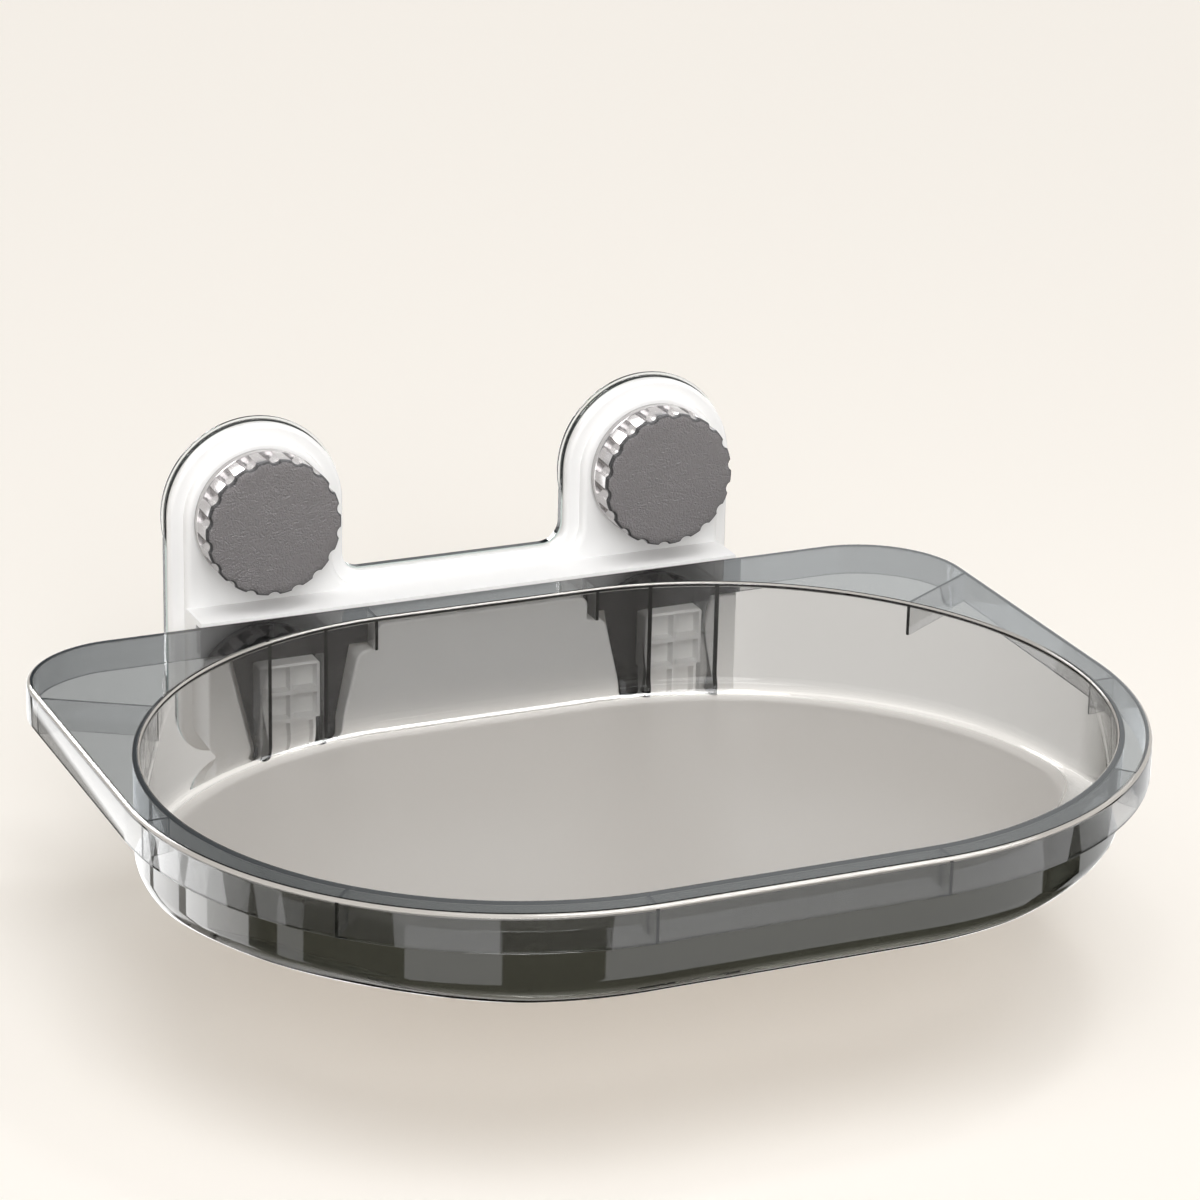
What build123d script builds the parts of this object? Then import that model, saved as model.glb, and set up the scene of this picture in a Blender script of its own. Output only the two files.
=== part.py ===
from build123d import *
import math
import os

# A cat perch that hangs on a window: a clear smoke-grey tray lifts off two hooks on a white
# bracket, and two hand wheels draw suction cups off the glass behind the bracket's ears.
# Millimetres. Origin on the glass, midway between the cups, at their height.
# +X is to the right seen from the room, +Y goes into the glass, +Z is up.
# Depths are counted from the glass towards the room, so a depth of 10 is y = -10.

# Shared clearances
overrun = 2.0
running_gap = 0.05
slip_gap = 0.1
body_gap = 0.3
seat_gap = 0.5

# Bracket outline
cup_spacing = 182.0
ear_radius = 39.0
bridge_top_drop = 33.0
notch_radius = 9.5
bracket_bottom_drop = 106.0
bracket_corner_radius = 15.0
flange_width = 6.0

# Bracket layers, as thicknesses
lip_thickness = 1.4
gasket_thickness = 3.2
gasket_reach = 0.4
back_plate_thickness = 2.2
back_plate_inset = 0.3
flange_thickness = 3.2
plateau_height = 4.0
shell_wall = 2.2
flange_round = 1.8
plateau_round = 2.5

# Bracket body below the ears; an inset is counted from the bracket's side
ledge_drop = 38.5
ledge_thickness = 2.5
recess_depth = 24.0
block_height = 10.0
block_top_drop = 55.5
block_top_inset = 15.8
block_foot_inset = 26.6
panel_height = 16.0
panel_top_drop = 45.0
panel_neck_inset = 81.0
panel_step_drop = 56.0
panel_step_inset = 72.7
panel_foot_inset = 61.6
panel_foot_drop = 103.0
panel_corner_radius = 6.0
panel_top_radius = 4.5
panel_inner_radius = 1.0
front_edge_round = 1.2
panel_rib_thickness = 1.6
panel_rib_pitch = 30.0
panel_ribs = 3

# Hooks that carry the tray
hook_inset = 40.65
hook_width = 25.8
hook_foot_width = 22.0
hook_step_drop = 81.6
hook_top_drop = 56.3
hook_depth = 8.6
hook_shelf_thickness = 2.0
hook_web = 1.2
hook_back_wall = 3.0
hook_lead_in = 0.8
cell_columns = 2
cell_rows = 3

# Tray in plan
tray_half_width = 212.0
tray_back_depth = 32.0
tray_front_depth = 357.0
tray_back_corner_radius = 46.0
tray_front_corner_radius = 156.5
tray_top_drop = 39.0
tray_wall = 2.6
skirt_height = 15.6
rim_round = 2.2
skirt_gap_side = 1.0

# Bowl in the tray, set in from the deck's edge; the share is the back arcs' part of its length
deck_side_width = 14.0
deck_back_width = 15.8
deck_front_width = 13.2
bowl_back_arc_share = 0.5152
bowl_wall = 2.8
bowl_front_bottom_drop = 83.0
bowl_floor_fall = 11.0
bowl_outer_fillet = 12.0
mouth_round = 0.9

# Webs under the deck; the angles are counted about the bowl's arcs from its widest line
web_thickness = 2.2
corner_web_angle = 36.4
corner_web_setback = 6.0
side_web_setback = 16.7
front_corner_web_angle = 44.0
front_web_half = 60.0

# Hanger sockets under the deck
socket_wall = 3.0
hanger_plate_thickness = 2.6
hanger_plate_drop = 97.5
hanger_side_gap = 1.2

# Suction cups and their pull discs
cup_radius = 40.4
lip_inner_radius = 33.0
cup_web_thickness = 1.8
dome_hole_radius = 34.0
pull_disc_radius = 16.0
pull_disc_thickness = 1.5
cup_skin = 1.0
cup_cover = 1.4
cup_boss_wall = 2.5
draw_travel = 3.5

# Studs and what turns on them
stud_radius = 4.0
neck_across_flats = 10.0
neck_length = 7.6
guide_length = 4.2
guide_radius = 9.0
knob_radius = 30.0
knob_depth = 18.4
knob_wall = 3.6
knob_floor = 2.4
knob_flange_thickness = 2.2
knob_flange_radius = 29.6
hub_radius = 10.0
hub_webs = 6
hub_web_thickness = 1.6
grip_count = 18
grip_scoop_radius = 3.5
grip_front_cut = 1.3
grip_back_cut = 2.0
grip_length_share = 0.72
left_grip_turn = -0.4
right_grip_turn = -3.1
cap_thickness = 1.4
washer_radius = 12.0
washer_thickness = 1.0
nut_radius = 6.5
nut_length = 6.8
nut_setback = 1.6
stop_head_radius = 5.0
stop_head_height = 2.2
stop_shank_radius = 1.65
stop_shank_length = 8.0
stop_margin = 0.5

# Screws behind the back plate
screw_radius = 1.5
screw_head_radius = 3.0
screw_head_height = 1.2
screw_length = 12.0
boss_radius = 3.8
screw_inset_side = 12.0
screw_inset_panel = 13.0
screw_upper_drop = 47.5
screw_lower_drop = 91.0

# Depths and heights that follow
cup_centre = cup_spacing / 2
side_half = cup_centre + ear_radius
ear_inner = cup_centre - ear_radius
body_half = side_half - flange_width
block_top_half = side_half - block_top_inset
block_foot_half = side_half - block_foot_inset
panel_neck_half = side_half - panel_neck_inset
panel_step_half = side_half - panel_step_inset
panel_foot_half = side_half - panel_foot_inset
hook_centre = side_half - hook_inset
skirt_gap_half = panel_neck_half + skirt_gap_side
body_bottom_drop = bracket_bottom_drop - flange_width
plate_front = gasket_thickness + back_plate_thickness
flange_front = plate_front + flange_thickness
plateau_front = flange_front + plateau_height
block_front = recess_depth + block_height
panel_front = recess_depth + panel_height
ledge_front = tray_back_depth - seat_gap
shelf_top_drop = hanger_plate_drop + body_gap
hanger_front = tray_back_depth + hanger_plate_thickness
hook_back = hanger_front + body_gap
hook_front = hook_back + hook_depth
skirt_bottom_drop = tray_top_drop + skirt_height
pull_disc_back = cup_skin + draw_travel
pull_disc_front = pull_disc_back + pull_disc_thickness
cup_boss_front = pull_disc_front + cup_cover
neck_front = pull_disc_front + neck_length
guide_back = plateau_front - guide_length
knob_back = plateau_front + body_gap
knob_front = knob_back + knob_depth
washer_front = plateau_front + washer_thickness
washer_seat = washer_front + slip_gap
nut_back = washer_seat + nut_setback
nut_front = nut_back + nut_length
stud_front = nut_front + draw_travel + stop_margin
cap_back = knob_front - cap_thickness
bowl_half_width = tray_half_width - deck_side_width
bowl_back_depth = tray_back_depth + deck_back_width
bowl_front_depth = tray_front_depth - deck_front_width
bowl_back_radius = (bowl_front_depth - bowl_back_depth) * bowl_back_arc_share
bowl_centre_depth = bowl_back_depth + bowl_back_radius
bowl_front_radius = bowl_front_depth - bowl_centre_depth


def slab(face, back, front):
    """A face drawn in X and Z, made solid between two depths from the glass."""
    return extrude(Plane.XZ.offset(back) * face, amount=front - back)


def rounded_slab(face, back, front, radius):
    """The same, with the edge of its room side rounded."""
    block = slab(face, back, front)
    return fillet(block.faces().sort_by(Axis.Y)[0].edges(), radius)


def strip(left, right, bottom, top):
    """A rectangle between two X values and two heights."""
    return Pos((left + right) / 2, (bottom + top) / 2) * Rectangle(right - left, top - bottom)


def mirrored(shape):
    return shape + mirror(shape, Plane.YZ)


def corner_at(face, x, z):
    """The corner of a face that lies at a place."""
    return face.vertices().sort_by_distance((x, z, 0))[0]


def round_corner(face, x, z, radius):
    return fillet(corner_at(face, x, z), radius)


def turned(points):
    """A ring about the stud's line from radii and depths, set on the glass."""
    outline = make_face(Polyline(*[(radius, depth) for radius, depth in points], close=True))
    return Rot(180, 0, 0) * revolve(outline, axis=Axis.Y)


def rod(radius, back, front, hole=0):
    """A round rod about the stud's line between two depths, with a hole if asked."""
    body = slab(Circle(radius), back, front)
    if hole:
        body -= slab(Circle(hole), back - overrun, front + overrun)
    return body


def bracket_outline():
    """Two round ears on straight sides, joined by a bridge, with rounded lower corners."""
    face = strip(-side_half, side_half, -bracket_bottom_drop, -bridge_top_drop)
    for side in (-1, 1):
        inner, outer = sorted((side * ear_inner, side * side_half))
        face += strip(inner, outer, -bridge_top_drop, 0)
        face += Pos(side * cup_centre, 0) * Circle(ear_radius)
    for side in (-1, 1):
        face = round_corner(face, side * ear_inner, -bridge_top_drop, notch_radius)
        face = round_corner(face, side * side_half, -bracket_bottom_drop, bracket_corner_radius)
    return face


def below(face, drop):
    """The part of a face that lies under a height."""
    return face & strip(-side_half, side_half, -bracket_bottom_drop, -drop)


def panel_outline():
    half = [
        (panel_neck_half, -panel_top_drop),
        (panel_neck_half, -panel_step_drop),
        (panel_step_half, -panel_step_drop),
        (panel_foot_half, -panel_foot_drop),
    ]
    other = [(-x, z) for x, z in reversed(half)]
    face = make_face(Polyline(*half, *other, close=True))
    radii = (panel_top_radius, panel_inner_radius, panel_corner_radius, panel_corner_radius)
    for side in (-1, 1):
        for (x, z), radius in zip(half, radii):
            face = round_corner(face, side * x, z, radius)
    return face


def block_outline():
    """The right outer block: its inner edge leans towards the panel on its way down."""
    lean = (block_top_half - block_foot_half) / (body_bottom_drop - block_top_drop)
    foot = block_foot_half - lean * flange_width
    corners = [
        (block_top_half, -block_top_drop),
        (side_half, -block_top_drop),
        (side_half, -bracket_bottom_drop),
        (foot, -bracket_bottom_drop),
    ]
    return make_face(Polyline(*corners, close=True))


def screw_places():
    """Screws sit behind the recess floor, clear of the panel and the blocks."""
    upper_outer = body_half - screw_inset_side
    upper_inner = panel_neck_half + screw_inset_panel
    lower = (block_foot_half + panel_foot_half) / 2
    half = [
        (upper_outer, -screw_upper_drop),
        (upper_inner, -screw_upper_drop),
        (lower, -screw_lower_drop),
    ]
    return [(side * x, z) for side in (-1, 1) for x, z in half]


def hook():
    """An upright tongue on a foot shelf, hollowed from the front in rows of cells."""
    upper = strip(-hook_width / 2, hook_width / 2, -hook_step_drop, -hook_top_drop)
    lower = strip(-hook_foot_width / 2, hook_foot_width / 2, -shelf_top_drop, -hook_step_drop)
    tongue = slab(upper + lower, hook_back, hook_front)
    tongue = chamfer(tongue.faces().sort_by(Axis.Z)[-1].edges(), hook_lead_in)
    shelf = slab(
        strip(-hook_width / 2, hook_width / 2, -shelf_top_drop - hook_shelf_thickness, -shelf_top_drop),
        recess_depth - shell_wall,
        hook_front,
    )
    row_height = (hook_step_drop - hook_top_drop) / (cell_rows - 1)
    rows = [(hook_top_drop + row_height * row, row_height, hook_width) for row in range(cell_rows - 1)]
    rows.append((hook_step_drop, shelf_top_drop - hook_step_drop, hook_foot_width))
    cells = []
    cell_back = hook_back + hook_back_wall
    for top, height, width in rows:
        cell_width = (width - hook_web * (cell_columns + 1)) / cell_columns
        for column in range(cell_columns):
            left = -width / 2 + hook_web + column * (cell_width + hook_web)
            cell = strip(left, left + cell_width, -top - height + hook_web / 2, -top - hook_web)
            cells.append(slab(cell, cell_back, hook_front + overrun))
    return Pos(hook_centre, 0, 0) * (tongue + shelf - cells)


def guide_bore(gap):
    return RegularPolygon((neck_across_flats / 2) / math.cos(math.pi / 6) + gap, 6)


def bracket_shell(outline):
    """The white front moulding, open towards the glass."""
    inner = offset(outline, -flange_width)
    floor_face = below(inner, ledge_drop)
    block_face = inner & block_outline()
    block_face += mirror(block_face, Plane.YZ)
    panel_face = panel_outline()
    body = rounded_slab(outline, plate_front, flange_front, flange_round)
    body += rounded_slab(inner, flange_front - overrun, plateau_front, plateau_round)
    body += slab(floor_face, flange_front, recess_depth)
    body += slab(
        strip(-body_half, body_half, -ledge_drop - ledge_thickness, -ledge_drop),
        flange_front,
        ledge_front,
    )
    for face in block_face.faces():
        body += rounded_slab(face, recess_depth - shell_wall, block_front, front_edge_round)
    body += rounded_slab(panel_face, flange_front - overrun, panel_front, front_edge_round)
    hollow_floor = below(offset(inner, -shell_wall), ledge_drop + ledge_thickness)
    body -= slab(offset(inner, -shell_wall), plate_front - overrun, plateau_front - shell_wall)
    body -= slab(hollow_floor, plate_front - overrun, recess_depth - shell_wall)
    for face in block_face.faces():
        body -= slab(offset(face, -shell_wall), plate_front - overrun, block_front - shell_wall)
    body -= slab(offset(panel_face, -shell_wall), plate_front - overrun, panel_front - shell_wall)
    half_rib = panel_rib_thickness / 2
    for count in range(panel_ribs):
        middle = (count - (panel_ribs - 1) / 2) * panel_rib_pitch
        rib = strip(middle - half_rib, middle + half_rib, -body_bottom_drop, -ledge_drop)
        body += slab(rib, flange_front, recess_depth)
        body += slab(rib & panel_face, recess_depth - shell_wall, panel_front - shell_wall / 2)
    body += mirrored(hook())
    for side in (-1, 1):
        centre = Pos(side * cup_centre, 0, 0)
        body += centre * slab(Circle(guide_radius), guide_back, plateau_front)
        body -= centre * slab(guide_bore(running_gap), guide_back - overrun, plateau_front + overrun)
    for x, z in screw_places():
        boss = Pos(x, 0, z) * rod(boss_radius, plate_front, recess_depth - shell_wall / 2)
        body += boss
        body -= Pos(x, 0, z) * rod(
            screw_radius + running_gap,
            plate_front - overrun,
            gasket_thickness + screw_length + overrun,
        )
    return body


def back_plate(outline):
    plate = slab(offset(outline, -back_plate_inset), gasket_thickness, plate_front)
    for side in (-1, 1):
        plate -= Pos(side * cup_centre, 0, 0) * rod(dome_hole_radius, 0, plate_front + overrun)
    for x, z in screw_places():
        plate -= Pos(x, 0, z) * rod(screw_radius + running_gap, 0, plate_front + overrun)
        plate -= Pos(x, 0, z) * rod(
            screw_head_radius + slip_gap, 0, gasket_thickness + screw_head_height + slip_gap
        )
    return plate


def glass_gasket(outline):
    """A soft pad between bracket and glass, let in where the cups' lips lie under it."""
    pad = slab(offset(outline, gasket_reach), 0, gasket_thickness)
    for side in (-1, 1):
        centre = Pos(side * cup_centre, 0, 0)
        pad -= centre * rod(cup_radius + slip_gap, -overrun, lip_thickness)
        pad -= centre * rod(dome_hole_radius, -overrun, gasket_thickness + overrun)
    return pad


def shell_screw():
    head_back = gasket_thickness + slip_gap
    head = rod(screw_head_radius, head_back, head_back + screw_head_height)
    return head + rod(screw_radius, head_back, gasket_thickness + screw_length)


def suction_cup():
    """The cup with its middle drawn off the glass, moulded round the pull disc."""
    boss_radius_here = pull_disc_radius + cup_boss_wall
    back = pull_disc_back - cup_skin
    bore = neck_across_flats / 2 + cup_boss_wall / 2
    gap = running_gap
    points = [
        (cup_radius, 0),
        (lip_inner_radius, 0),
        (pull_disc_radius, back),
        (0, back),
        (0, pull_disc_back - gap),
        (pull_disc_radius + gap, pull_disc_back - gap),
        (pull_disc_radius + gap, pull_disc_front + gap),
        (bore, pull_disc_front + gap),
        (bore, cup_boss_front),
        (boss_radius_here, cup_boss_front),
        (boss_radius_here, back + cup_web_thickness),
        (lip_inner_radius, lip_thickness),
        (cup_radius, lip_thickness),
    ]
    return turned(points)


def cup_plate():
    hole = stud_radius - cup_skin
    return rod(pull_disc_radius, pull_disc_back, pull_disc_front, hole)


def stud():
    """A threaded rod whose hexagonal neck slides in the shell without turning."""
    foot = rod(stud_radius - cup_skin, pull_disc_back, pull_disc_front)
    neck = slab(guide_bore(0), pull_disc_front, neck_front)
    bolt = foot + neck + rod(stud_radius, neck_front, stud_front)
    return bolt - rod(stop_shank_radius + running_gap, stud_front - stop_shank_length, stud_front + overrun)


def stop_screw():
    head = rod(stop_head_radius, stud_front, stud_front + stop_head_height)
    shank = rod(stop_shank_radius, stud_front - stop_shank_length + slip_gap, stud_front)
    return head + shank


def grip_cuts(turn):
    """Round scoops that start at the knob's face and deepen a little to a steep end wall."""
    length = knob_depth * grip_length_share
    slope = (grip_back_cut - grip_front_cut) / length
    start = Plane(
        origin=(knob_radius - grip_back_cut + grip_scoop_radius, length - knob_front, 0),
        x_dir=(0, 0, 1),
        z_dir=(slope, -1, 0),
    )
    scoop = extrude(start * Circle(grip_scoop_radius), length + overrun)
    pitch = 360 / grip_count
    half_pitch = pitch / 2
    return [Rot(0, -(turn + half_pitch + pitch * count), 0) * scoop for count in range(grip_count)]


def knob(turn):
    """A hollow hand wheel with a hub on webs, a foot flange and grip pockets."""
    wheel = rod(knob_radius, knob_back + knob_flange_thickness, cap_back)
    wheel += rod(knob_flange_radius, knob_back, knob_back + knob_flange_thickness)
    wheel -= rod(knob_radius - knob_wall, knob_back + knob_floor, cap_back + overrun)
    wheel += rod(hub_radius, knob_back, nut_front)
    ring = Circle(knob_radius - knob_wall / 2) - Circle(hub_radius - hub_web_thickness)
    spoke = strip(0, knob_radius, -hub_web_thickness / 2, hub_web_thickness / 2)
    for count in range(hub_webs):
        web = Rot(0, 0, 360 * count / hub_webs) * spoke
        wheel += slab(web & ring, knob_back + knob_floor / 2, nut_front)
    wheel -= rod(washer_radius + slip_gap, knob_back - overrun, washer_seat)
    wheel -= rod(neck_across_flats / 2 / math.cos(math.pi / 6) + body_gap, knob_back - overrun, nut_back)
    wheel -= rod(nut_radius, nut_back, nut_front + overrun)
    return wheel - grip_cuts(turn)


def knob_cap(turn):
    return rod(knob_radius, cap_back, knob_front) - grip_cuts(turn)


def tray_outline():
    """The deck in plan: square back corners, and a front of two wide arcs."""
    depth = tray_front_depth - tray_back_depth
    middle = -(tray_front_depth + tray_back_depth) / 2
    face = Pos(0, middle) * Rectangle(2 * tray_half_width, depth)
    for side in (-1, 1):
        face = round_corner(face, side * tray_half_width, -tray_back_depth, tray_back_corner_radius)
        face = round_corner(face, side * tray_half_width, -tray_front_depth, tray_front_corner_radius)
    return face


def bowl_outline():
    """The bowl's mouth: two arcs at the window side and two tighter ones at the front."""
    back_half = bowl_half_width - bowl_back_radius
    front_half = bowl_half_width - bowl_front_radius
    back = -bowl_back_depth
    middle = -bowl_centre_depth
    front = -bowl_front_depth
    slant = math.sin(math.pi / 4)
    edge = Line((-back_half, back), (back_half, back))
    edge += ThreePointArc(
        (back_half, back),
        (back_half + bowl_back_radius * slant, middle + bowl_back_radius * slant),
        (bowl_half_width, middle),
    )
    edge += ThreePointArc(
        (bowl_half_width, middle),
        (front_half + bowl_front_radius * slant, middle - bowl_front_radius * slant),
        (front_half, front),
    )
    edge += Line((front_half, front), (-front_half, front))
    edge += ThreePointArc(
        (-front_half, front),
        (-front_half - bowl_front_radius * slant, middle - bowl_front_radius * slant),
        (-bowl_half_width, middle),
    )
    edge += ThreePointArc(
        (-bowl_half_width, middle),
        (-back_half - bowl_back_radius * slant, middle + bowl_back_radius * slant),
        (-back_half, back),
    )
    return make_face(edge)


def bowl_form(face, rise, radius):
    """A plug with the bowl's plan whose bottom falls gently towards the window."""
    length = bowl_front_depth - bowl_back_depth
    slope = bowl_floor_fall / length
    lowest = bowl_front_bottom_drop + bowl_floor_fall + bowl_outer_fillet
    plug = extrude(Pos(0, 0, -lowest) * face, lowest - tray_top_drop)
    cut = Plane(
        origin=(0, -bowl_front_depth - bowl_wall, -bowl_front_bottom_drop + rise),
        x_dir=(1, 0, 0),
        z_dir=(0, slope, 1),
    )
    plug = split(plug, bisect_by=cut, keep=Keep.TOP)
    return fillet(plug.faces().sort_by(Axis.Z)[0].edges(), radius)


def bowl_place(angle):
    """A place on the bowl's mouth, as X and depth; angles towards the window are negative."""
    radius = bowl_back_radius if angle < 0 else bowl_front_radius
    turn = math.radians(angle)
    x = bowl_half_width - radius + radius * math.cos(turn)
    return (x, bowl_centre_depth + radius * math.sin(turn))


def web_places():
    """Both ends of each web on the right half, first on the bowl and then on the skirt."""
    corner_depth = tray_back_depth + tray_back_corner_radius + corner_web_setback
    side_depth = bowl_centre_depth + side_web_setback
    side_angle = math.degrees(math.asin(side_web_setback / bowl_front_radius))
    front_turn = math.radians(front_corner_web_angle)
    arc_x = tray_half_width - tray_front_corner_radius * (1 - math.cos(front_turn))
    arc_depth = tray_front_depth - tray_front_corner_radius * (1 - math.sin(front_turn))
    end_half = skirt_gap_half + web_thickness / 2
    return [
        (bowl_place(-corner_web_angle), (tray_half_width, corner_depth)),
        (bowl_place(side_angle), (tray_half_width, side_depth)),
        (bowl_place(front_corner_web_angle), (arc_x, arc_depth)),
        ((front_web_half, bowl_front_depth), (front_web_half, tray_front_depth)),
        ((end_half, bowl_back_depth), (end_half, hanger_front)),
    ]


def plan_web(ends):
    """A thin upright web between two places given by X and depth."""
    (x0, depth0), (x1, depth1) = ends
    length = math.hypot(x1 - x0, depth1 - depth0) + 2 * tray_wall
    angle = math.degrees(math.atan2(depth0 - depth1, x1 - x0))
    return Pos((x0 + x1) / 2, -(depth0 + depth1) / 2) * Rot(0, 0, angle) * Rectangle(length, web_thickness)


def hanger_plate():
    """The right hanger plate: a funnel that drops between the panel and the outer block."""
    block_lean = (block_top_half - block_foot_half) / (body_bottom_drop - block_top_drop)
    panel_lean = (panel_foot_half - panel_step_half) / (panel_foot_drop - panel_step_drop)
    fall = hanger_plate_drop - skirt_bottom_drop
    outer_top = block_top_half - hanger_side_gap
    outer_foot = outer_top - block_lean * (hanger_plate_drop - block_top_drop)
    inner_top = panel_step_half + hanger_side_gap * 2
    inner_foot = inner_top + panel_lean * fall
    corners = [
        (inner_top, -skirt_bottom_drop + tray_wall),
        (outer_top, -skirt_bottom_drop + tray_wall),
        (outer_top, -skirt_bottom_drop),
        (outer_foot, -hanger_plate_drop),
        (inner_foot, -hanger_plate_drop),
        (inner_top, -skirt_bottom_drop),
    ]
    return slab(make_face(Polyline(*corners, close=True)), tray_back_depth, hanger_front)


def sockets(bowl_face):
    """Two deep walls beside each hook, from the hanger plate to the bowl."""
    inside = hook_width / 2 + body_gap
    walls = hanger_plate()
    back = block_front + body_gap
    reach = (bowl_back_depth + bowl_centre_depth) / 2
    for side in (-1, 1):
        near, far = sorted((side * inside, side * (inside + socket_wall)))
        plan = Pos(hook_centre + (near + far) / 2, -(back + reach) / 2)
        wall = plan * Rectangle(far - near, reach - back) - bowl_face
        wall = wall.faces().sort_by(Axis.Y)[-1]
        height = hanger_plate_drop - tray_top_drop - tray_wall / 2
        walls += extrude(Pos(0, 0, -hanger_plate_drop) * wall, height)
    return walls


def tray():
    """One clear moulding: deck, skirt, webs, sockets and bowl."""
    deck_face = tray_outline()
    mouth = bowl_outline()
    bowl_face = offset(mouth, bowl_wall)
    under = offset(deck_face, -tray_wall)
    body = extrude(Pos(0, 0, -skirt_bottom_drop) * deck_face, skirt_height)
    body = fillet(body.faces().sort_by(Axis.Z)[-1].edges(), rim_round)
    pocket_height = skirt_height - tray_wall
    body -= extrude(Pos(0, 0, -skirt_bottom_drop - overrun) * under, pocket_height + overrun)
    gap = Pos(0, -tray_back_depth) * Rectangle(2 * skirt_gap_half, 4 * tray_wall)
    body -= extrude(Pos(0, 0, -skirt_bottom_drop - overrun) * gap, pocket_height + overrun)
    for ends in web_places():
        face = plan_web(ends) & deck_face
        web = extrude(Pos(0, 0, -skirt_bottom_drop) * face, pocket_height + tray_wall / 2)
        body += mirrored(web)
    body += mirrored(sockets(bowl_face))
    body += bowl_form(bowl_face, 0, bowl_outer_fillet)
    body -= bowl_form(mouth, bowl_wall, bowl_outer_fillet - bowl_wall)
    deck_top = body.faces().filter_by(Axis.Z).sort_by(Axis.Z)[-1]
    return fillet(deck_top.inner_wires()[0].edges(), mouth_round)


def write(shape, name):
    solids = shape.solids()
    kept = solids[0] if len(solids) == 1 else Compound(solids)
    kept.label = name
    export_step(kept, f"parts/{name}.step")


os.makedirs("parts", exist_ok=True)
bracket_face = bracket_outline()
write(tray(), "tray")
write(bracket_shell(bracket_face), "bracket_shell")
write(back_plate(bracket_face), "back_plate")
write(glass_gasket(bracket_face), "glass_gasket")
write(Compound([Pos(x, 0, z) * shell_screw() for x, z in screw_places()]), "shell_screws")
for name, side, turn in (("left", -1, left_grip_turn), ("right", 1, right_grip_turn)):
    place = Pos(side * cup_centre, 0, 0)
    write(place * suction_cup(), f"suction_cup_{name}")
    write(place * cup_plate(), f"cup_plate_{name}")
    write(place * stud(), f"stud_{name}")
    write(place * stop_screw(), f"stop_screw_{name}")
    washer_hole = nut_radius + slip_gap
    washer = rod(washer_radius, plateau_front, washer_front, washer_hole)
    write(place * washer, f"thrust_washer_{name}")
    write(place * rod(nut_radius, nut_back, nut_front, stud_radius + running_gap), f"knob_nut_{name}")
    write(place * knob(turn), f"knob_{name}")
    write(place * knob_cap(turn), f"knob_cap_{name}")
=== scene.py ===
import math
import bpy
import bmesh
import numpy as np
from mathutils import Matrix, Vector


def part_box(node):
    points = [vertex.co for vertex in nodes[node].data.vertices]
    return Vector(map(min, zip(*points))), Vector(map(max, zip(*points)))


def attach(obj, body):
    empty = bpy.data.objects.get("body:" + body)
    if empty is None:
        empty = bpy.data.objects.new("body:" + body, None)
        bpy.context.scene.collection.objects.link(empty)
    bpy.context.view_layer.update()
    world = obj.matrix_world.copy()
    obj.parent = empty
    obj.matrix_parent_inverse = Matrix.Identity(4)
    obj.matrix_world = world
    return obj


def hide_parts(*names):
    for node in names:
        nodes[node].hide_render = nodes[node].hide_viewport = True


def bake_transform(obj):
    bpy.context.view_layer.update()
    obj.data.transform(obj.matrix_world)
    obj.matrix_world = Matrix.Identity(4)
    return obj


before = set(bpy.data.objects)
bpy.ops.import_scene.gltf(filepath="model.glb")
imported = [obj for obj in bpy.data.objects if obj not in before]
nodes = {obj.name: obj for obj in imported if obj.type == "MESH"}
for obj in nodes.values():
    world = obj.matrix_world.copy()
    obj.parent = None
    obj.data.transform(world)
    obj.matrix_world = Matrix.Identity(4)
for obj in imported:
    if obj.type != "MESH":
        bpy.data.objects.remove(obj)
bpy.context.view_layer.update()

mm = 0.001
sharpAngle = 28.0  # degrees between faces from which an edge is drawn sharp


# Small helpers

# One colour from its sRGB hex value, in the renderer's linear light
def linear(hexColour):
    values = [int(hexColour[i:i + 2], 16) / 255 for i in (1, 3, 5)]
    return [v / 12.92 if v <= 0.04045 else ((v + 0.055) / 1.055) ** 2.4 for v in values] + [1.0]


# Adds a node with its settings. Each socket named gets a plain value, or a link from another node's output.
def addNode(tree, kind, settings=(), sockets=()):
    node = tree.nodes.new(kind)
    for name, value in dict(settings).items():
        setattr(node, name, value)
    for name, value in dict(sockets).items():
        if isinstance(value, bpy.types.NodeSocket):
            tree.links.new(value, node.inputs[name])
        else:
            node.inputs[name].default_value = value
    return node


def newMaterial(name):
    material = bpy.data.materials.new(name)
    material.use_nodes = True
    material.node_tree.nodes.clear()
    return material, material.node_tree


# Quads of a grid whose rows are closed rings: each joins two neighbours of one ring to the two over them
def gridFaces(rows, columns):
    row, column = np.meshgrid(np.arange(rows - 1), np.arange(columns), indexing="ij")
    nextColumn = (column + 1) % columns
    faces = np.stack([row * columns + column, row * columns + nextColumn,
                      (row + 1) * columns + nextColumn, (row + 1) * columns + column], axis=-1)
    return faces.reshape(-1, 4).tolist()


# Smooth faces, with a sharp edge where two of them meet at more than an angle in degrees
def smoothFaces(mesh, angle=sharpAngle):
    mesh.polygons.foreach_set("use_smooth", np.ones(len(mesh.polygons), bool))
    mesh.set_sharp_from_angle(angle=math.radians(angle))


def faceOutwards(mesh):
    work = bmesh.new()
    work.from_mesh(mesh)
    bmesh.ops.recalc_face_normals(work, faces=work.faces)
    work.to_mesh(mesh)
    work.free()


def newPiece(name, points, faces, material, angle=sharpAngle):
    mesh = bpy.data.meshes.new(name)
    mesh.from_pydata(points.tolist(), [], faces)
    mesh.update()
    mesh.materials.append(material)
    smoothFaces(mesh, angle)
    piece = bpy.data.objects.new(name, mesh)
    bpy.context.scene.collection.objects.link(piece)
    return piece


# Materials

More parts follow.
